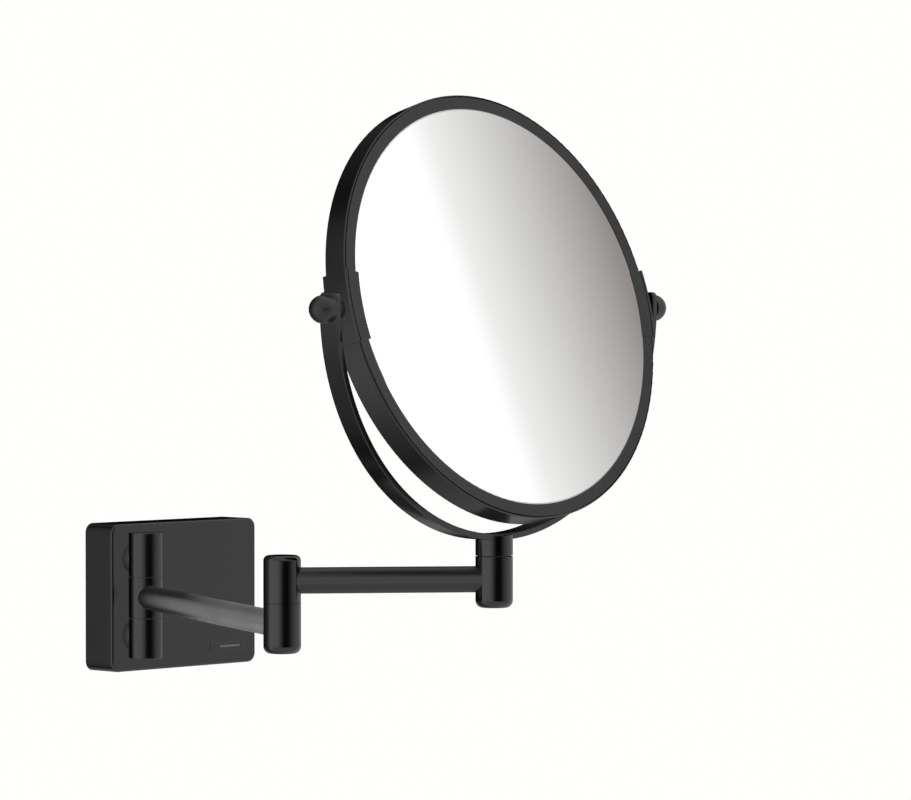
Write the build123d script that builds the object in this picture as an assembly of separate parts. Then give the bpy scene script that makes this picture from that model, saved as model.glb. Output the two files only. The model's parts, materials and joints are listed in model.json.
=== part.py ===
from build123d import *
from math import cos, radians, sin, sqrt, tan
import os

# Extendable two-arm shaving mirror with a plain and a magnifying face.
# Millimetres, +Z up. The wall is the plane y = 0 and the mirror stands out
# along -Y. The origin is the centre of the wall bracket's back face.

# How far a cut runs past the solid that it cuts.
overcut = 1.0

# ---- wall plate ----
plate_width = 94.4
plate_height = 70.4
plate_depth = 18.8
plate_corner = 4.5
plate_edge_round = 1.1
plate_side_wall = 3.0
plate_front_wall = 3.0
plate_inner_corner = 1.5
badge_width = 23.0
badge_height = 4.2
badge_thickness = 0.6
badge_proud = 0.2
badge_margin_x = 7.5
badge_margin_z = 6.6

# ---- wall bracket ----
bracket_thickness = 2.5
bracket_flange = 2.0
bracket_flange_reach = 9.5
bracket_side_gap = 4.0
bracket_gap = 0.3
slot_inset = 12.2
slot_length = 9.0
slot_width = 5.0
grub_radius = 2.0
grub_recess = 0.4
grub_socket_depth = 1.2
grub_inset = 22.2
grub_setback = 8.0
hex_key_radius = 1.2

# ---- hinge columns ----
column_radius = 8.2
column_gap = 0.7
column_inset = 13.5
column_edge_round = 0.4
hub_height = 19.6
hub_below_arm = 9.9
upper_barrel_height = 21.0
lower_barrel_height = 19.2
washer_thickness = 0.4
washer_setback = 0.8
post_radius = 7.0
post_spacing = 36.8
post_screw_radius = 2.0
post_screw_head_radius = 3.5
post_screw_head = 2.6
post_screw_socket_depth = 1.4

# ---- hinge pins and fits ----
pin_radius = 3.0
pin_end_wall = 4.8
bush_wall = 1.15
running_gap = 0.05
slip_gap = 0.02
moving_gap = 0.3
thread_gap = 0.3

# ---- arms ----
arm_radius = 5.75
arm_wall = 1.2
arm_1_length = 198.3
arm_1_heading = -115.25
arm_1_height = 0.6
arm_2_length = 92.9
arm_2_heading = -39.75
arm_2_rise = 9.7

# ---- elbow column ----
elbow_below_arm = 12.3
elbow_above_arm = 11.1
elbow_seam_gap = 0.2
elbow_washer_setback = 1.6
elbow_washer_seat = 0.6
elbow_top_round = 2.3
column_bottom_round = 3.2
elbow_thread_depth = 15.0
elbow_head_overhang = 1.8
elbow_head_height = 2.5
spring_washer_thickness = 0.6
cap_thickness = 2.2
cap_ledge = 0.5
cap_gap = 1.8
cap_edge_round = 0.2
socket_depth = 1.6

# ---- head column ----
head_below_arm = 12.45
head_above_arm = 10.0
head_washer = 0.5
head_washer_setback = 0.9
stem_height = 6.75
ear_drop = 0.5
bolt_radius = 2.5
bolt_socket_radius = 2.0
nut_overhang = 2.0
nut_height = 4.0
nut_gap = 1.0
nut_play = 0.4
bottom_cap_thickness = 2.0
countersink_overhang = 1.5
countersink_depth = 1.5

# ---- mirror head ----
mirror_tilt = 14.9
rim_radius = 95.3
rim_wall = 2.1
rim_lip = 0.55
rim_depth = 12.2
rim_edge_round = 0.45
rim_lip_setback = 0.15
bezel_width = 6.4
bezel_groove = 0.5
bezel_thickness = 1.7
bezel_edge_round = 0.3
bezel_lip = 0.4
glass_overlap = 1.5
glass_thickness = 2.0
glass_step = 0.2
glass_chamfer = 0.17
magnifier_thickness = 1.8
glass_gap = 2.6
core_width = 5.7
core_gap = 0.2
seal_thickness = 0.5
seal_width = 2.2
saddle_thickness = 0.85
saddle_reach = 0.9
saddle_half_angle = 9.5
saddle_edge_round = 0.25
saddle_groove_depth = 0.45

# ---- yoke ----
head_clearance = 3.5
yoke_thickness = 2.75
yoke_width = 10.2
yoke_edge_round = 0.35
yoke_end_round = 2.4
pivot_drop = 1.45
yoke_end_above_pivot = 7.2

# ---- pivots ----
knob_radius = 6.0
knob_neck = 2.85
knob_gap = 0.05
dome_flat = 0.05
shoulder_radius = 3.0
pivot_thread_radius = 1.9
pivot_washer_radius = 4.2
pivot_thread_in_core = 4.7

# ---- worked-out places ----
face_y = -plate_depth
column_x = -plate_width / 2 + column_inset
column_y = face_y - column_gap - column_radius
elbow_x = column_x + arm_1_length * cos(radians(arm_1_heading))
elbow_y = column_y + arm_1_length * sin(radians(arm_1_heading))
head_x = elbow_x + arm_2_length * cos(radians(arm_2_heading))
head_y = elbow_y + arm_2_length * sin(radians(arm_2_heading))
seam_low = arm_1_height - hub_below_arm
seam_high = seam_low + hub_height
wall_column_low = seam_low - lower_barrel_height
wall_column_high = seam_high + upper_barrel_height
arm_2_height = seam_high + arm_2_rise
elbow_low = arm_1_height - elbow_below_arm
elbow_high = arm_2_height + elbow_above_arm
head_low = arm_2_height - head_below_arm
head_seam = arm_2_height + head_above_arm
bush_radius = pin_radius + running_gap + bush_wall
elbow_washer_radius = column_radius - elbow_washer_setback
elbow_head_radius = pin_radius + elbow_head_overhang
cap_radius = elbow_head_radius + moving_gap + cap_ledge
nut_radius = bolt_radius + nut_overhang
bottom_cap_radius = nut_radius + nut_play
countersink_radius = bolt_radius + countersink_overhang
yoke_inner = rim_radius + saddle_thickness + head_clearance
yoke_radius = yoke_inner + yoke_thickness
yoke_bottom = head_seam + head_washer + stem_height
yoke_centre_height = yoke_bottom + yoke_radius
yoke_floor = yoke_centre_height - yoke_inner
pivot_height = yoke_centre_height - pivot_drop
half_depth = rim_depth / 2
bezel_opening = rim_radius - bezel_width
glass_radius = bezel_opening + glass_overlap
magnifier_sag = rim_depth - 2 * bezel_lip - glass_thickness - magnifier_thickness - glass_gap
magnifier_radius = (glass_radius ** 2 + magnifier_sag ** 2) / (2 * magnifier_sag)
core_outer_radius = rim_radius - rim_wall - core_gap / 2
core_inner_radius = core_outer_radius - core_width


# ---- shapes used more than once ----
def rod(radius, low, high, x=0.0, y=0.0):
    """Upright cylinder from z = low to z = high."""
    return Pos(x, y, (low + high) / 2) * Cylinder(radius, high - low)


def tube(outer, inner, low, high, x=0.0, y=0.0):
    """Upright tube from z = low to z = high."""
    return rod(outer, low, high, x, y) - rod(inner, low - overcut, high + overcut, x, y)


def rod_y(radius, back, front, x=0.0, z=0.0):
    """Cylinder along Y between two y values."""
    return Pos(x, (back + front) / 2, z) * Rot(90, 0, 0) * Cylinder(radius, abs(front - back))


def tube_y(outer, inner, back, front, x=0.0, z=0.0):
    """Tube along Y between two y values."""
    reach = overcut if front > back else -overcut
    return rod_y(outer, back, front, x, z) - rod_y(inner, back - reach, front + reach, x, z)


def rod_x(radius, start, end):
    """Cylinder along X between two x values."""
    return Pos((start + end) / 2, 0, 0) * Rot(0, 90, 0) * Cylinder(radius, abs(end - start))


def hexagon(corner_radius, low, high, x=0.0, y=0.0):
    """Upright hexagonal prism."""
    return Pos(x, y, low) * extrude(RegularPolygon(corner_radius, 6), high - low)


def round_rim(solid, radius, side):
    """Round the outer edge of an upright solid's top or bottom face."""
    faces = solid.faces().sort_by(Axis.Z)
    face = faces[-1] if side == "top" else faces[0]
    edge = face.edges().sort_by(SortBy.LENGTH)[-1]
    return fillet(edge, radius)


def save(name, shape):
    export_step(shape, "parts/" + name + ".step")


# ---- wall unit ----
def wall_cover():
    outline = Plane.XZ * RectangleRounded(plate_width, plate_height, plate_corner)
    shell = extrude(outline, plate_depth)
    front = shell.faces().sort_by(Axis.Y)[0]
    shell = fillet(front.edges(), plate_edge_round)
    inner_width = plate_width - 2 * plate_side_wall
    inner_height = plate_height - 2 * plate_side_wall
    cavity = Plane.XZ * RectangleRounded(inner_width, inner_height, plate_inner_corner)
    shell -= extrude(cavity, plate_depth - plate_front_wall)
    for z in post_heights():
        shell -= rod_y(post_screw_radius + slip_gap, face_y - overcut, 0, column_x, z)
    for x in grub_places():
        shell -= rod(grub_radius, -plate_height, 0, x, -grub_setback)
    return shell - badge_block(0)


def post_heights():
    middle = (seam_low + seam_high) / 2
    return [middle + side * post_spacing / 2 for side in (-1, 1)]


def grub_places():
    place = plate_width / 2 - grub_inset
    return [-place, place]


def badge_block(proud):
    x = plate_width / 2 - badge_margin_x - badge_width / 2
    z = -plate_height / 2 + badge_margin_z + badge_height / 2
    thickness = badge_thickness - badge_proud + proud
    y = face_y + badge_thickness - badge_proud - thickness / 2
    return Pos(x, y, z) * Box(badge_width, thickness, badge_height)


def cover_badge():
    badge = badge_block(badge_proud)
    front = badge.faces().sort_by(Axis.Y)[0]
    return chamfer(front.edges(), badge_proud / 2)


def bracket_half_height():
    return plate_height / 2 - plate_side_wall - bracket_gap


def bracket_width():
    return plate_width - 2 * plate_side_wall - 2 * bracket_side_gap


def wall_bracket():
    width = bracket_width()
    half = bracket_half_height()
    plate = Pos(0, -bracket_thickness / 2, 0) * Box(width, bracket_thickness, 2 * half)
    depth = bracket_thickness + bracket_flange_reach
    for side in (-1, 1):
        z = side * (half - bracket_flange / 2)
        plate += Pos(0, -depth / 2, z) * Box(width, depth, bracket_flange)
    slot_place = width / 2 - slot_inset
    for x in (-slot_place, slot_place):
        slot = Plane.XZ * Pos(x, 0) * SlotOverall(slot_length, slot_width)
        plate -= extrude(slot, bracket_thickness * 2, both=True)
    return plate


def grub_screws():
    screws = []
    low = -plate_height / 2 + grub_recess
    for x in grub_places():
        screw = rod(grub_radius, low, -bracket_half_height(), x, -grub_setback)
        screws.append(screw - hexagon(hex_key_radius, low - overcut, low + grub_socket_depth, x, -grub_setback))
    return Compound(screws)


def post(z):
    body = rod_y(post_radius, face_y, column_y, column_x, z)
    body -= rod(column_radius, z - post_radius - overcut, z + post_radius + overcut, column_x, column_y)
    return body - rod_y(post_screw_radius + slip_gap, face_y + overcut, column_y, column_x, z)


def post_screw_tip():
    return column_y + pin_radius + thread_gap


def post_screws():
    screws = []
    seat = face_y + plate_front_wall
    for z in post_heights():
        screw = rod_y(post_screw_head_radius, seat, seat + post_screw_head, column_x, z)
        screw += rod_y(post_screw_radius, seat, post_screw_tip(), column_x, z)
        outline = Plane.XZ * Pos(column_x, z) * RegularPolygon(post_screw_radius, 6)
        socket = extrude(outline, post_screw_socket_depth)
        screws.append(screw - Pos(0, seat + post_screw_head, 0) * socket)
    return Compound(screws)


def wall_barrel(low, high, z, side):
    barrel = round_rim(rod(column_radius, low, high, column_x, column_y), column_edge_round, side)
    bore_low = low - overcut if side == "top" else low + pin_end_wall
    bore_high = high - pin_end_wall if side == "top" else high + overcut
    barrel -= rod(pin_radius + slip_gap, bore_low, bore_high, column_x, column_y)
    return barrel - rod_y(post_screw_radius, face_y, column_y, column_x, z)


def wall_hinge_pin():
    low = wall_column_low + pin_end_wall
    return rod(pin_radius, low, wall_column_high - pin_end_wall, column_x, column_y)


def thrust_washer(seam):
    outer = column_radius - washer_setback
    low = seam - washer_thickness / 2
    return tube(outer, pin_radius + running_gap, low, low + washer_thickness, column_x, column_y)


# ---- arm 1 ----
def hub_span():
    return seam_low + washer_thickness / 2, seam_high - washer_thickness / 2


def arm_1_hub():
    low, high = hub_span()
    return tube(column_radius, bush_radius + slip_gap, low, high, column_x, column_y)


def hub_bush():
    low, high = hub_span()
    return tube(bush_radius, pin_radius + running_gap, low, high, column_x, column_y)


def arm_tube(length, heading, height, x, y):
    """Round tube between two columns, its ends shaped to sit on them."""
    tube_body = rod_x(arm_radius, 0, length) - rod_x(arm_radius - arm_wall, -overcut, length + overcut)
    for end in (0, length):
        tube_body -= rod(column_radius, -2 * arm_radius, 2 * arm_radius, end, 0)
    return Pos(x, y, height) * Rot(0, 0, heading) * tube_body


def elbow_seam():
    """Bottom face of the upper barrel and top face of the lower one."""
    return seam_high + elbow_seam_gap / 2, seam_high - elbow_seam_gap / 2


def elbow_shelf():
    return elbow_high - cap_thickness - cap_gap - elbow_head_height - spring_washer_thickness


def elbow_pin_end():
    return elbow_seam()[1] - elbow_thread_depth


def elbow_lower_barrel():
    top = elbow_seam()[1]
    barrel = rod(column_radius, elbow_low, top, elbow_x, elbow_y)
    barrel = round_rim(barrel, column_bottom_round, "bottom")
    barrel -= rod(elbow_washer_radius + slip_gap, top - elbow_washer_seat, top + overcut, elbow_x, elbow_y)
    return barrel - rod(pin_radius + slip_gap, elbow_pin_end(), top + overcut, elbow_x, elbow_y)


def elbow_thrust_washer():
    upper, lower = elbow_seam()
    inner = pin_radius + running_gap
    return tube(elbow_washer_radius, inner, lower - elbow_washer_seat, upper, elbow_x, elbow_y)


def elbow_pin():
    shelf = elbow_shelf()
    pin = rod(pin_radius, elbow_pin_end(), shelf + spring_washer_thickness, elbow_x, elbow_y)
    low = shelf + spring_washer_thickness
    high = low + elbow_head_height
    pin += rod(elbow_head_radius, low, high, elbow_x, elbow_y)
    return pin - hexagon(pin_radius, high - socket_depth, high + overcut, elbow_x, elbow_y)


def elbow_spring_washer():
    low = elbow_shelf()
    inner = pin_radius + running_gap
    return tube(elbow_head_radius, inner, low, low + spring_washer_thickness, elbow_x, elbow_y)


# ---- arm 2 ----
def elbow_upper_barrel():
    low = elbow_seam()[0]
    barrel = rod(column_radius, low, elbow_high, elbow_x, elbow_y)
    barrel = round_rim(barrel, elbow_top_round, "top")
    barrel -= rod(pin_radius + running_gap, low - overcut, elbow_high, elbow_x, elbow_y)
    barrel -= rod(elbow_head_radius + moving_gap, elbow_shelf(), elbow_high, elbow_x, elbow_y)
    seat = elbow_high - cap_thickness
    return barrel - rod(cap_radius + slip_gap, seat, elbow_high + overcut, elbow_x, elbow_y)


def elbow_cap():
    cap = rod(cap_radius, elbow_high - cap_thickness, elbow_high, elbow_x, elbow_y)
    return round_rim(cap, cap_edge_round, "top")


def head_shelf():
    cover = head_low + bottom_cap_thickness
    return cover + nut_gap + nut_height + spring_washer_thickness


def head_barrel():
    barrel = rod(column_radius, head_low, head_seam, head_x, head_y)
    barrel = round_rim(barrel, column_bottom_round, "bottom")
    barrel -= rod(bolt_radius + running_gap, head_low, head_seam + overcut, head_x, head_y)
    return barrel - rod(bottom_cap_radius + slip_gap, head_low - overcut, head_shelf(), head_x, head_y)


def head_barrel_cap():
    cap = rod(bottom_cap_radius, head_low, head_low + bottom_cap_thickness, head_x, head_y)
    return round_rim(cap, cap_edge_round, "bottom")


# ---- yoke ----
def swivel_washer():
    outer = column_radius - head_washer_setback
    inner = bolt_radius + running_gap
    return tube(outer, inner, head_seam, head_seam + head_washer, head_x, head_y)


def swivel_stem():
    """Top of the head column, slotted so that two ears hold the yoke band."""
    low = head_seam + head_washer
    stem = rod(column_radius, low, yoke_floor - ear_drop, head_x, head_y)
    stem = round_rim(stem, column_edge_round, "top")
    slot = yoke_width / 2 + slip_gap
    stem -= rod_y(yoke_radius, head_y + slot, head_y - slot, head_x, yoke_centre_height)
    return stem - rod(bolt_radius + slip_gap, low - overcut, yoke_bottom + overcut, head_x, head_y)


def yoke_band():
    back = head_y + yoke_width / 2
    front = head_y - yoke_width / 2
    band = tube_y(yoke_radius, yoke_inner, back, front, head_x, yoke_centre_height)
    reach = 2 * (yoke_radius + overcut)
    band -= Pos(head_x, head_y, yoke_centre_height + reach / 2) * Box(reach, reach, reach)
    leg = pivot_height + yoke_end_above_pivot - yoke_centre_height
    for side in (-1, 1):
        x = head_x + side * (yoke_radius - yoke_thickness / 2)
        z = yoke_centre_height + leg / 2
        band += Pos(x, head_y, z) * Box(yoke_thickness, yoke_width, leg)
    band = fillet(band.edges().filter_by(Axis.X).group_by(Axis.Z)[-1], yoke_end_round)
    band = fillet(band.edges(), yoke_edge_round)
    band -= rod(bolt_radius + slip_gap, 0, yoke_centre_height, head_x, head_y)
    band -= countersink(slip_gap)
    pivot = Pos(head_x, head_y, pivot_height)
    return band - pivot * rod_x(shoulder_radius + running_gap, -2 * yoke_radius, 2 * yoke_radius)


def countersink(gap):
    z = yoke_floor - countersink_depth / 2
    cone = Cone(bolt_radius + gap, countersink_radius + gap, countersink_depth)
    mouth = rod(countersink_radius + gap, yoke_floor, yoke_floor + overcut, head_x, head_y)
    return Pos(head_x, head_y, z) * cone + mouth


def swivel_bolt():
    low = head_low + bottom_cap_thickness + nut_gap / 2
    bolt = rod(bolt_radius, low, yoke_floor, head_x, head_y)
    bolt += Pos(head_x, head_y, yoke_floor - countersink_depth / 2) * Cone(
        bolt_radius, countersink_radius, countersink_depth)
    return bolt - hexagon(bolt_socket_radius, yoke_floor - socket_depth, yoke_floor + overcut, head_x, head_y)


def swivel_nut():
    low = head_low + bottom_cap_thickness + nut_gap
    nut = hexagon(nut_radius, low, low + nut_height, head_x, head_y)
    return nut - rod(bolt_radius + slip_gap, low - overcut, low + nut_height + overcut, head_x, head_y)


def swivel_spring_washer():
    high = head_shelf()
    inner = bolt_radius + slip_gap
    return tube(nut_radius, inner, high - spring_washer_thickness, high, head_x, head_y)


# ---- mirror head, drawn facing -Y round its own centre ----
def in_head(shape):
    return Pos(head_x, head_y, pivot_height) * Rot(-mirror_tilt, 0, 0) * shape


def mirror_rim():
    lip_inner = rim_radius - rim_lip
    edge = half_depth - rim_lip_setback
    band = rod_y(rim_radius, edge, -edge)
    band = fillet(band.edges(), rim_edge_round)
    band -= rod_y(rim_radius - rim_wall, edge + overcut, -edge - overcut)
    for side in (-1, 1):
        band -= rod_y(lip_inner, side * (edge + overcut), side * (half_depth - bezel_thickness))
    return band - pivot_holes()


def pivot_holes():
    return rod_x(pivot_thread_radius + slip_gap, -2 * rim_radius, 2 * rim_radius)


def bezel(side):
    """Flat ring with a thin inner lip; side -1 is the front, +1 the rear."""
    outer = rim_radius - rim_lip - bezel_groove
    face = side * half_depth
    ring = tube_y(outer, bezel_opening, face, face - side * bezel_thickness)
    faces = ring.faces().sort_by(Axis.Y)
    front = faces[0] if side < 0 else faces[-1]
    ring = fillet(front.edges(), bezel_edge_round)
    seat = bezel_opening + glass_overlap + core_gap
    return ring - rod_y(seat, face - side * bezel_lip, face - side * (bezel_thickness + overcut))


def plain_glass():
    face = -(half_depth - bezel_lip)
    disc = rod_y(glass_radius, face, face + glass_thickness)
    pad = rod_y(bezel_opening - core_gap, face + bezel_lip, face - glass_step)
    front = pad.faces().sort_by(Axis.Y)[0]
    return disc + chamfer(front.edges(), glass_chamfer)


def magnifier_centre():
    """Where the hollow rear face's sphere is centred, along Y."""
    return half_depth - bezel_lip + sqrt(magnifier_radius ** 2 - glass_radius ** 2)


def magnifying_glass():
    """Slumped glass, hollow towards the rear."""
    centre = magnifier_centre()
    back = half_depth - bezel_lip
    front = centre - magnifier_radius - magnifier_thickness - overcut
    disc = rod_y(glass_radius, front, back)
    disc -= Pos(0, centre, 0) * Sphere(magnifier_radius)
    return disc & (Pos(0, centre, 0) * Sphere(magnifier_radius + magnifier_thickness))


def seal_radii():
    outer = glass_radius - core_gap
    return outer, outer - seal_width


def core_span():
    """Front and rear faces of the core ring, a seal's thickness off each glass."""
    front = -(half_depth - bezel_lip - glass_thickness) + seal_thickness
    sphere = magnifier_radius + magnifier_thickness
    inner = seal_radii()[1]
    rear = magnifier_centre() - sqrt(sphere ** 2 - inner ** 2) - seal_thickness
    return front, rear


def core_ring():
    front, rear = core_span()
    return tube_y(core_outer_radius, core_inner_radius, rear, front) - pivot_holes()


def seal(side):
    front, rear = core_span()
    outer, inner = seal_radii()
    face = rear if side > 0 else front
    return tube_y(outer, inner, face + side * seal_thickness, face)


def saddle():
    """U-shaped clip over the rim's left side, centred on the pivot axis."""
    outer = rim_radius + saddle_thickness
    inner = bezel_opening - saddle_reach
    edge = half_depth + saddle_thickness
    clip = rod_y(outer, edge, -edge) - rod_y(inner, edge + overcut, -edge - overcut)
    clip -= rod_y(rim_radius, half_depth, -half_depth)
    reach = outer + rim_depth
    half = reach * tan(radians(saddle_half_angle))
    corners = [(0, 0), (-reach, half), (-reach, -half)]
    wedge = extrude(Plane.XZ * make_face(Polyline(corners, close=True)), 2 * edge, both=True)
    clip = clip & wedge
    faces = clip.faces().sort_by(Axis.Y)
    clip = fillet(faces[0].edges() + faces[-1].edges(), saddle_edge_round)
    groove = rim_radius - rim_lip
    for side in (-1, 1):
        floor = side * (edge - saddle_groove_depth)
        clip -= tube_y(groove, groove - bezel_groove, floor, side * edge)
    return clip - pivot_holes()


def pivot_knob():
    """Domed shoulder screw on the left side, its thread in the core ring."""
    base = yoke_radius + knob_gap
    tip = base + knob_neck + knob_radius
    knob = rod_x(knob_radius, -base, -tip)
    dome_edge = knob.edges().filter_by(GeomType.CIRCLE).sort_by(Axis.X)[0]
    knob = fillet(dome_edge, knob_radius - dome_flat)
    knob += rod_x(shoulder_radius, -washer_outer(), -base)
    thread_end = core_outer_radius - pivot_thread_in_core
    return knob + rod_x(pivot_thread_radius, -thread_end, -washer_outer())


def washer_outer():
    """Outer face of a pivot washer, just inside the yoke's inner face."""
    drop = abs(yoke_centre_height - pivot_height) + pivot_washer_radius
    return sqrt(yoke_inner ** 2 - drop ** 2) - running_gap


def pivot_washer():
    washer = rod_x(pivot_washer_radius, overcut - rim_radius, -washer_outer())
    washer -= rod_y(rim_radius + saddle_thickness, -half_depth, half_depth)
    return washer - pivot_holes()


def main():
    os.makedirs("parts", exist_ok=True)
    low_post, high_post = post_heights()
    half_washer = washer_thickness / 2
    save("wall_cover", wall_cover())
    save("cover_badge", cover_badge())
    save("wall_bracket", wall_bracket())
    save("cover_grub_screws", grub_screws())
    save("upper_post", post(high_post))
    save("lower_post", post(low_post))
    save("post_screws", post_screws())
    save("upper_hinge_barrel", wall_barrel(seam_high + half_washer, wall_column_high, high_post, "top"))
    save("lower_hinge_barrel", wall_barrel(wall_column_low, seam_low - half_washer, low_post, "bottom"))
    save("wall_hinge_pin", wall_hinge_pin())
    save("upper_thrust_washer", thrust_washer(seam_high))
    save("lower_thrust_washer", thrust_washer(seam_low))
    save("arm_1_hub", arm_1_hub())
    save("hub_bush", hub_bush())
    save("arm_1_tube", arm_tube(arm_1_length, arm_1_heading, arm_1_height, column_x, column_y))
    save("elbow_lower_barrel", elbow_lower_barrel())
    save("elbow_thrust_washer", elbow_thrust_washer())
    save("elbow_pin", elbow_pin())
    save("elbow_spring_washer", elbow_spring_washer())
    save("elbow_upper_barrel", elbow_upper_barrel())
    save("elbow_cap", elbow_cap())
    save("arm_2_tube", arm_tube(arm_2_length, arm_2_heading, arm_2_height, elbow_x, elbow_y))
    save("head_barrel", head_barrel())
    save("head_barrel_cap", head_barrel_cap())
    save("swivel_washer", swivel_washer())
    save("swivel_stem", swivel_stem())
    save("swivel_bolt", swivel_bolt())
    save("swivel_nut", swivel_nut())
    save("swivel_spring_washer", swivel_spring_washer())
    save("yoke_band", yoke_band())
    save("mirror_rim", in_head(mirror_rim()))
    save("plain_glass", in_head(plain_glass()))
    save("magnifying_glass", in_head(magnifying_glass()))
    save("core_ring", in_head(core_ring()))
    for name, side in (("front", -1), ("rear", 1)):
        save(name + "_bezel", in_head(bezel(side)))
        save(name + "_seal", in_head(seal(side)))
    for name, turn in (("left", 0), ("right", 180)):
        swing = Rot(0, turn, 0)
        save(name + "_saddle", in_head(swing * saddle()))
        save(name + "_pivot_knob", in_head(swing * pivot_knob()))
        save(name + "_pivot_washer", in_head(swing * pivot_washer()))
    print("columns", (column_x, column_y), (elbow_x, elbow_y), (head_x, head_y))


main()
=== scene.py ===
import json
from math import cos, pi, radians, sin

import bpy
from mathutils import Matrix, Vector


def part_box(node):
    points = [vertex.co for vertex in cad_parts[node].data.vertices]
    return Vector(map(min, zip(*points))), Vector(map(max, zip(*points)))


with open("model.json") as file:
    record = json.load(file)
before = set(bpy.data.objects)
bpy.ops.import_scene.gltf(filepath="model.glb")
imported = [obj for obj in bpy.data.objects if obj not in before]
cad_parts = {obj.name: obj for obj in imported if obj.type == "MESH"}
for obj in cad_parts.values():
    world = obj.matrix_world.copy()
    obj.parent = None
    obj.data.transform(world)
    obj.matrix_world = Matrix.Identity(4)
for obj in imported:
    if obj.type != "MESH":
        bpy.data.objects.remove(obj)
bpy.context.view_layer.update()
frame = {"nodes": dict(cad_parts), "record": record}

# Extendable shaving mirror in satin black. The scene is in metres, in the
# part's own frame: +Z up, the wall at y = 0, the mirror stands out along -Y.


# ---- node helpers ----
class Tree:
    """A node tree with short calls for the nodes used here."""

    def __init__(self, tree):
        self.tree = tree
        tree.nodes.clear()

    def node(self, kind, **settings):
        made = self.tree.nodes.new(kind)
        for name, value in settings.items():
            setattr(made, name, value)
        return made

    def link(self, source, target):
        self.tree.links.new(source, target)

    def feed(self, socket, value):
        """Links an output to the socket, or sets a plain number on it."""
        if isinstance(value, bpy.types.NodeSocket):
            self.link(value, socket)
        else:
            socket.default_value = value

    def math(self, operation, *values):
        made = self.node("ShaderNodeMath", operation=operation)
        for socket, value in zip(made.inputs, values):
            self.feed(socket, value)
        return made.outputs[0]

    def dot(self, vector, direction):
        made = self.node("ShaderNodeVectorMath", operation="DOT_PRODUCT")
        self.link(vector, made.inputs[0])
        made.inputs[1].default_value = direction
        return made.outputs["Value"]

    def split(self, vector):
        made = self.node("ShaderNodeSeparateXYZ")
        self.link(vector, made.inputs[0])
        return tuple(made.outputs)

    def span(self, value, start, end, low=0.0, high=1.0, kind="SMOOTHSTEP"):
        """Goes from low, where value is at start, to high, where it is at end."""
        made = self.node("ShaderNodeMapRange", interpolation_type=kind)
        sockets = ("Value", "From Min", "From Max", "To Min", "To Max")
        for name, item in zip(sockets, (value, start, end, low, high)):
            self.feed(made.inputs[name], item)
        return made.outputs["Result"]

    def mix(self, factor, first, second):
        """Number between first and second."""
        made = self.node("ShaderNodeMix", data_type="FLOAT")
        sockets = (made.inputs[0], made.inputs[2], made.inputs[3])
        for socket, value in zip(sockets, (factor, first, second)):
            self.feed(socket, value)
        return made.outputs[0]

    def mix_colours(self, factor, first, second):
        made = self.node("ShaderNodeMix", data_type="RGBA")
        colours = [socket for socket in made.inputs if socket.type == "RGBA"]
        for socket, value in zip([made.inputs[0]] + colours, (factor, first, second)):
            self.link(value, socket)
        return next(socket for socket in made.outputs if socket.type == "RGBA")

    def mix_shaders(self, factor, first, second):
        made = self.node("ShaderNodeMixShader")
        for socket, value in zip(made.inputs, (factor, first, second)):
            self.link(value, socket)
        return made.outputs[0]

    def ramp(self, factor, stops, interpolation="LINEAR"):
        """Colour by factor. A stop is its place and a grey or a colour."""
        made = self.node("ShaderNodeValToRGB")
        ramp = made.color_ramp
        ramp.interpolation = interpolation
        while len(ramp.elements) < len(stops):
            ramp.elements.new(1.0)
        for element, (place, value) in zip(ramp.elements, stops):
            element.position = place
            colour = value if isinstance(value, tuple) else (value, value, value)
            element.color = (*colour, 1.0)
        self.link(factor, made.inputs[0])
        return made.outputs["Color"]

    def noise(self, vector, size, detail=2.0, roughness=0.5):
        """Noise whose features are about size metres across."""
        made = self.node("ShaderNodeTexNoise")
        self.link(vector, made.inputs["Vector"])
        made.inputs["Scale"].default_value = 1 / size
        made.inputs["Detail"].default_value = detail
        made.inputs["Roughness"].default_value = roughness
        return made.outputs["Fac"]


def new_material(name):
    """The material, its tree, its shader, and a point's place in the part."""
    made = bpy.data.materials.new(name)
    made.use_nodes = True
    tree = Tree(made.node_tree)
    shader = tree.node("ShaderNodeBsdfPrincipled")
    output = tree.node("ShaderNodeOutputMaterial")
    tree.link(shader.outputs[0], output.inputs["Surface"])
    place = tree.node("ShaderNodeTexCoord").outputs["Object"]
    return made, tree, shader, place


def bump(tree, shader, height, depth):
    made = tree.node("ShaderNodeBump")
    made.inputs["Distance"].default_value = depth
    tree.link(height, made.inputs["Height"])
    tree.link(made.outputs["Normal"], shader.inputs["Normal"])


# ---- materials ----
# Most of a noise's values lie between these two.
noise_low, noise_high = 0.3, 0.7

coat_cloud, coat_grain = 0.02, 0.0009
coat_cloud_share = 0.6
coat_grain_depth = 0.000006
coat_blue = 0.93
coat_ior = 1.5


def coated_metal(name, shine, spread, tone=(0.0012, 0.0028)):
    """Satin black coat: near-black, faintly mottled, with a very fine grain.

    Its roughness strays from shine by spread. tone is its darkest and its
    palest grey.
    """
    made, tree, shader, place = new_material(name)
    cloud = tree.noise(place, coat_cloud, 3.0)
    grain = tree.noise(place, coat_grain, 2.0, 0.6)
    shade = tree.math(
        "ADD",
        tree.math("MULTIPLY", cloud, coat_cloud_share),
        tree.math("MULTIPLY", grain, 1 - coat_cloud_share),
    )
    low, high = ((grey, grey, coat_blue * grey) for grey in tone)
    colour = tree.ramp(shade, [(noise_low, low), (noise_high, high)])
    tree.link(colour, shader.inputs["Base Color"])
    rough = tree.span(shade, noise_low, noise_high, shine - spread, shine + spread)
    tree.link(rough, shader.inputs["Roughness"])
    shader.inputs["IOR"].default_value = coat_ior
    bump(tree, shader, grain, coat_grain_depth)
    return made


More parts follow.
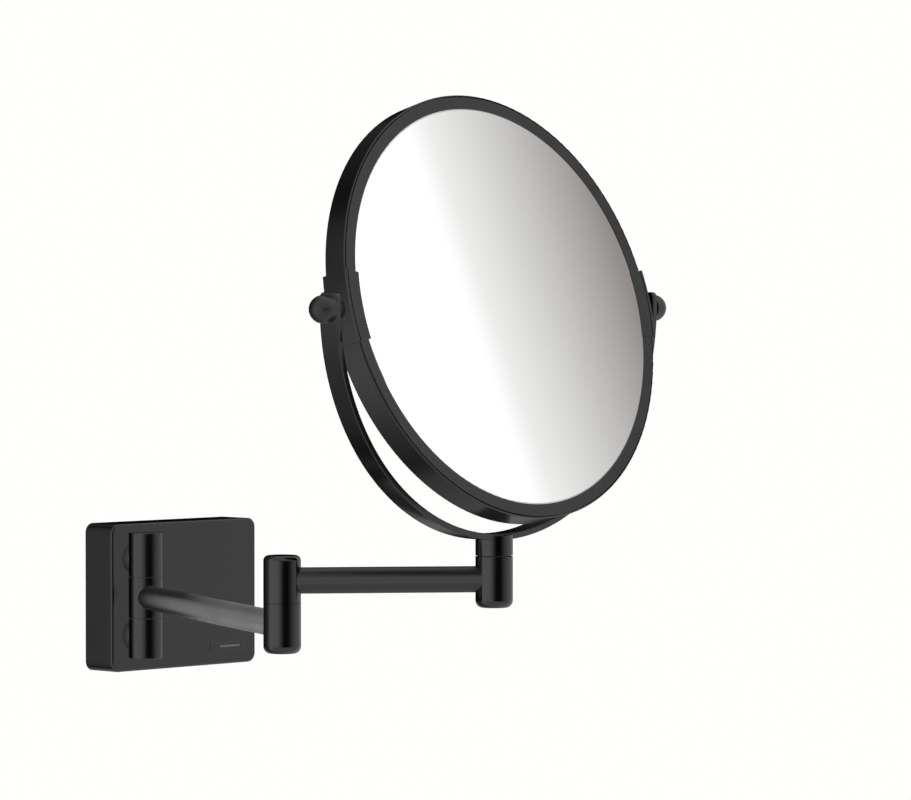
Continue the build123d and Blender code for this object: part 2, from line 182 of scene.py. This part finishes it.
def silvered_glass():
    """Silver behind clear glass: nearly neutral, with the faintest haze."""
    made, tree, shader, place = new_material("silvered_glass_look")
    haze = tree.noise(place, 0.03)
    dull, bright = (0.975, 0.98, 0.978), (0.985, 0.988, 0.986)
    tone = tree.ramp(haze, [(noise_low, dull), (noise_high, bright)])
    tree.link(tone, shader.inputs["Base Color"])
    rough = tree.span(haze, noise_low, noise_high, 0.0, 0.012)
    tree.link(rough, shader.inputs["Roughness"])
    shader.inputs["Metallic"].default_value = 1.0
    return made


def zinc_plated():
    """Bright zinc on steel: spangles, and a fine grain in its gloss."""
    made, tree, shader, place = new_material("zinc_steel_look")
    spangle = tree.noise(place, 0.004, 3.0)
    fine = tree.noise(place, 0.0006)
    dark, pale = (0.42, 0.43, 0.44), (0.60, 0.61, 0.62)
    tone = tree.ramp(spangle, [(0.35, dark), (0.65, pale)])
    tree.link(tone, shader.inputs["Base Color"])
    rough = tree.span(fine, noise_low, noise_high, 0.24, 0.40)
    tree.link(rough, shader.inputs["Roughness"])
    shader.inputs["Metallic"].default_value = 1.0
    bump(tree, shader, fine, 0.000008)
    return made


def moulded(name, tones, roughness, grain_size):
    """Moulded plastic, rubber or cast alloy with a fine mould grain.

    tones and roughness are each a low and a high value.
    """
    made, tree, shader, place = new_material(name)
    cloud = tree.noise(place, 0.008)
    grain = tree.noise(place, grain_size, 3.0, 0.6)
    tone = tree.ramp(cloud, list(zip((noise_low, noise_high), tones)))
    tree.link(tone, shader.inputs["Base Color"])
    rough = tree.span(grain, noise_low, noise_high, *roughness)
    tree.link(rough, shader.inputs["Roughness"])
    bump(tree, shader, grain, 0.00002)
    return made


# The badge in metres: its printed frame line, and one blank bar whose ends
# are shares of the badge's width. A print strength of 1 is the bar's tone.
badge_edge, badge_line = 0.0001, 0.00025
bar_start, bar_end, bar_height = 0.28, 0.84, 0.0009
line_strength = 0.12
badge_black, print_grey = (0.002, 0.002, 0.0019), (0.16, 0.16, 0.155)
badge_roughness, print_roughness = 0.18, 0.3


def printed_badge(part, name):
    """Coated badge with a pale printed frame line and one blank bar."""
    made, tree, shader, place = new_material(name)
    (left, _, bottom), (right, _, top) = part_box(part)
    x, _, z = tree.split(place)

    def inside(value, start, end):
        over = tree.math("GREATER_THAN", value, start)
        return tree.math("MULTIPLY", over, tree.math("LESS_THAN", value, end))

    def block(x_start, x_end, z_start, z_end):
        across, up = inside(x, x_start, x_end), inside(z, z_start, z_end)
        return tree.math("MULTIPLY", across, up)

    def inset(by):
        return block(left + by, right - by, bottom + by, top - by)

    frame_line = tree.math("SUBTRACT", inset(badge_edge), inset(badge_edge + badge_line))
    width, middle = right - left, (bottom + top) / 2
    bar = block(
        left + bar_start * width, left + bar_end * width,
        middle - bar_height / 2, middle + bar_height / 2,
    )
    faint_line = tree.math("MULTIPLY", frame_line, line_strength)
    print_mask = tree.math("MAXIMUM", faint_line, bar)
    worn = tree.span(tree.noise(place, 0.0006), 0.35, 0.65, 0.7, 1.0)
    ink = tree.math("MULTIPLY", print_mask, worn)
    tone = tree.ramp(ink, [(0.0, badge_black), (1.0, print_grey)])
    tree.link(tone, shader.inputs["Base Color"])
    rough = tree.math("MULTIPLY_ADD", print_mask, print_roughness, badge_roughness)
    tree.link(rough, shader.inputs["Roughness"])
    return made


def greys(low, high):
    return (low, low, low), (high, high, high)


looks = {
    "black_coat": coated_metal("black_coat_look", 0.18, 0.03),
    "silvered_glass": silvered_glass(),
    "zinc_steel": zinc_plated(),
    "black_polymer": moulded("black_polymer_look", greys(0.010, 0.016), (0.45, 0.6), 0.0005),
    "core_alloy": moulded(
        "core_alloy_look", ((0.30, 0.30, 0.31), (0.38, 0.38, 0.39)), (0.4, 0.6), 0.0012
    ),
    "seal_rubber": moulded("seal_rubber_look", greys(0.012, 0.02), (0.6, 0.75), 0.0004),
}

# The same black coat is smoother on the turned columns than on the plate and
# the head, and rougher on the drawn tubes and the knobs. On the posts, which
# stand between the plate and the column where little light comes, the coat is
# painted paler: painted light that stands in for the light they miss.
special = {"cover_badge": printed_badge("cover_badge", "badge_look")}
for look, parts in (
    (coated_metal("column_coat_look", 0.13, 0.02), (
        "upper_hinge_barrel", "lower_hinge_barrel", "arm_1_hub", "elbow_lower_barrel",
        "elbow_upper_barrel", "head_barrel", "swivel_stem",
    )),
    (coated_metal("tube_coat_look", 0.38, 0.03), (
        "arm_1_tube", "arm_2_tube", "left_pivot_knob", "right_pivot_knob",
    )),
    # Painted light: the posts' pale tone stands in for light that the plate and column keep
    # off them.
    (coated_metal("post_coat_painted_light_look", 0.4, 0.03, (0.05, 0.06)), ("upper_post", "lower_post")),
):
    for name in parts:
        special[name] = look

for part in frame["record"]["subparts"]:
    node = frame["nodes"][part["node"]]
    look = special.get(part["node"], looks[part["material_slot"]])
    if not node.material_slots:
        node.data.materials.append(look)
    for slot in node.material_slots:
        slot.material = look

# Close neighbours would mirror these parts as black patches, so the coats and
# the glass reflect the studio there instead. They cast no shadow either.
for name in (
    "yoke_band", "left_pivot_knob", "right_pivot_knob", "left_pivot_washer",
    "right_pivot_washer", "right_saddle", "upper_post", "lower_post", "post_screws",
    "upper_hinge_barrel", "lower_hinge_barrel", "arm_1_hub", "hub_bush",
    "wall_hinge_pin", "upper_thrust_washer", "lower_thrust_washer",
):
    frame["nodes"][name].visible_glossy = False
    frame["nodes"][name].visible_shadow = False


# ---- camera ----
camera_azimuth = -46.44
camera_pitch = 1.352
camera = bpy.data.objects.new("camera", bpy.data.cameras.new("camera"))
camera.location = (-1.5170, -1.6412, 0.1458)
camera.rotation_euler = (radians(90 - camera_pitch), 0, radians(camera_azimuth))
camera.data.sensor_width = 36.0
camera.data.lens = 182.17
bpy.context.collection.objects.link(camera)
bpy.context.scene.camera = camera


# ---- studio: a pale floor and a soft surround ----
def reflected(direction, tilt):
    """Direction after reflection in a face that is turned up by tilt."""
    normal = (0.0, -cos(radians(tilt)), sin(radians(tilt)))
    along = sum(a * b for a, b in zip(direction, normal))
    return tuple(a - 2 * along * b for a, b in zip(direction, normal))


def view_axes():
    """Forward, right and up of the camera at rest, as plain numbers."""
    turn, drop = radians(camera_azimuth), radians(camera_pitch)
    forward = (-sin(turn) * cos(drop), cos(turn) * cos(drop), -sin(drop))
    right = (cos(turn), sin(turn), 0.0)
    up = (-sin(turn) * sin(drop), cos(turn) * sin(drop), cos(drop))
    return forward, right, up


backdrop_white = (1.0, 1.0, 0.982, 1.0)

# Brightness of the surround near the horizon, by azimuth: 0 is in front of
# the wall, -90 at the left and 90 at the right.
horizon = [
    (-180, 0.02), (-165, 0.05), (-150, 0.3), (-138, 0.35), (-131, 1.1),
    (-122, 1.5), (-110, 1.65), (-80, 1.65), (-68, 1.4), (-55, 0.85),
    (-43, 0.25), (-35, 0.05), (-30, 0.0), (-10, 0.0), (5, 0.2),
    (17, 0.6), (25, 0.75), (45, 1.0), (60, 0.95), (85, 0.8),
    (110, 0.6), (130, 0.8), (145, 0.3), (155, 0.03),
]
# Where the parts of the surround start and end, in a direction's own x, y
# and z. The horizon's band ends at band_edge above and below, except at the
# left behind the wall, where it goes all the way up and down.
band_edge = 0.13, 0.20
behind_wall = -0.1, 0.55
left_of_part = 0.05, -0.15
low_to_high = -0.25, 0.25
# Brightness in front of the wall, then pairs for below and above: behind the
# wall, the cap at the nadir and the zenith, and the height where the cap starts.
front_light = 1.07
back_light = 0.40, 0.05
cap_light = 0.86, 1.15
cap_start = 0.95, 0.60
cap_full = 0.97
# The surround is dark in a cone straight behind the part, in degrees.
dark_cone = 27, 12

# Grey card that the glass reflects: brightness from its bright edge on.
card_stops = [
    (0.0, (1.12, 1.12, 1.12)),
    (0.2, (0.86, 0.86, 0.85)),
    (0.6, (0.58, 0.57, 0.565)),
    (1.0, (0.29, 0.27, 0.26)),
]
card_run = 0.0065, 0.046
card_slant = 0.34
card_cone = 6, 4
head_tilt = 14.9


def studio_light(tree, place):
    """Brightness of the surround by direction, without the card."""
    x, y, z = tree.split(place)
    angle = tree.math("ARCTAN2", x, tree.math("MULTIPLY", y, -1.0))
    turn = tree.math("MULTIPLY_ADD", angle, 1 / (2 * pi), 0.5)
    band = tree.ramp(turn, [((a + 180) / 360, v) for a, v in horizon], "EASE")
    height = tree.math("ABSOLUTE", z)
    behind = tree.span(y, *behind_wall)
    left_side = tree.math("MULTIPLY", behind, tree.span(x, *left_of_part))
    in_band = tree.math("MAXIMUM", tree.span(height, *band_edge, 1.0, 0.0), left_side)
    above = tree.span(z, *low_to_high)
    sky = tree.mix(behind, front_light, tree.mix(above, *back_light))
    in_cap = tree.span(height, tree.mix(above, *cap_start), cap_full)
    sky = tree.mix(in_cap, sky, tree.mix(above, *cap_light))
    light = tree.mix(in_band, sky, band)
    beyond = tree.dot(place, view_axes()[0])
    wide, narrow = (cos(radians(angle)) for angle in dark_cone)
    return tree.math("MULTIPLY", light, tree.span(beyond, wide, narrow, 1.0, 0.0))


def grey_card(tree, place):
    """Where the card is, and its colour: it lies where the glass reflects."""
    forward, right, up = (reflected(axis, head_tilt) for axis in view_axes())
    gradient = tuple(a + card_slant * b for a, b in zip(right, up))
    ahead = tree.dot(place, forward)
    across = tree.math("DIVIDE", tree.dot(place, gradient), ahead)
    card = tree.ramp(tree.span(across, *card_run, kind="LINEAR"), card_stops)
    wide, narrow = (cos(radians(angle)) for angle in card_cone)
    return tree.span(ahead, wide, narrow), card


def surround():
    world = bpy.data.worlds.new("studio")
    bpy.context.scene.world = world
    world.use_nodes = True
    tree = Tree(world.node_tree)
    place = tree.node("ShaderNodeTexCoord").outputs["Generated"]
    on_card, card = grey_card(tree, place)
    seen = tree.mix_colours(on_card, studio_light(tree, place), card)

    soft = tree.node("ShaderNodeBackground")
    tree.link(seen, soft.inputs["Color"])
    plain = tree.node("ShaderNodeBackground")
    plain.inputs["Color"].default_value = backdrop_white
    to_camera = tree.node("ShaderNodeLightPath").outputs["Is Camera Ray"]
    both = tree.mix_shaders(to_camera, soft.outputs[0], plain.outputs[0])
    output = tree.node("ShaderNodeOutputWorld")
    tree.link(both, output.inputs["Surface"])


floor_level, floor_radius = -0.45, 3.0
floor_rings, floor_steps = 6, 96
floor_greys = 0.84, 0.86
# Shares of the floor's radius between which its paint fades into white.
floor_fade = 0.3, 0.97


def pale_floor():
    """Round pale floor that fades into the white surround at its edge."""
    mesh = bpy.data.meshes.new("floor")
    corners = [(0.0, 0.0, floor_level)]
    for ring in range(1, floor_rings + 1):
        reach = floor_radius * ring / floor_rings
        for step in range(floor_steps):
            turn = 2 * pi * step / floor_steps
            corners.append((reach * cos(turn), reach * sin(turn), floor_level))
    faces = [(0, 1 + s, 1 + (s + 1) % floor_steps) for s in range(floor_steps)]
    for ring in range(floor_rings - 1):
        inner = 1 + ring * floor_steps
        outer = inner + floor_steps
        for s in range(floor_steps):
            t = (s + 1) % floor_steps
            faces.append((inner + s, outer + s, outer + t, inner + t))
    mesh.from_pydata(corners, [], faces)
    floor = bpy.data.objects.new("floor", mesh)
    bpy.context.collection.objects.link(floor)
    floor.visible_glossy = False
    floor.data.materials.append(floor_paint())


def floor_paint():
    made, tree, shader, place = new_material("floor_paint")
    x, y, _ = tree.split(place)
    squares = tree.math("ADD", tree.math("MULTIPLY", x, x), tree.math("MULTIPLY", y, y))
    far = tree.math("SQRT", squares)
    cloud = tree.noise(place, 0.4)
    tone = tree.ramp(cloud, list(zip((noise_low, noise_high), floor_greys)))
    tree.link(tone, shader.inputs["Base Color"])
    shader.inputs["Roughness"].default_value = 0.9
    glow = tree.node("ShaderNodeEmission")
    glow.inputs["Color"].default_value = backdrop_white
    fade = tree.span(far, *(share * floor_radius for share in floor_fade))
    blend = tree.mix_shaders(fade, shader.outputs[0], glow.outputs[0])
    output = next(n for n in tree.tree.nodes if n.type == "OUTPUT_MATERIAL")
    tree.link(blend, output.inputs["Surface"])
    return made


def soft_light(name, part, azimuth, distance, width, height, brightness):
    """Upright softbox that lights one part only, facing its middle."""
    low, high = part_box(part)
    x, y, z = ((a + b) / 2 for a, b in zip(low, high))
    turn = radians(azimuth)
    lamp = bpy.data.lights.new(name, "AREA")
    lamp.shape = "RECTANGLE"
    lamp.size, lamp.size_y = width, height
    lamp.energy = brightness * pi * width * height
    light = bpy.data.objects.new(name, lamp)
    light.location = (x + distance * sin(turn), y - distance * cos(turn), z)
    light.rotation_euler = (radians(90), 0, turn)
    light.visible_camera = False
    bpy.context.collection.objects.link(light)
    lit = bpy.data.collections.new(name)
    lit.objects.link(frame["nodes"][part])
    light.light_linking.receiver_collection = lit
    light.light_linking.blocker_collection = lit


surround()
soft_light(
    "back_softbox", "arm_1_tube",
    azimuth=168, distance=1.3, width=2.0, height=1.0, brightness=1.2,
)
soft_light(
    "front_softbox", "arm_2_tube",
    azimuth=-33, distance=1.5, width=1.5, height=1.2, brightness=1.0,
)
pale_floor()
bpy.context.scene.view_settings.view_transform = "Standard"
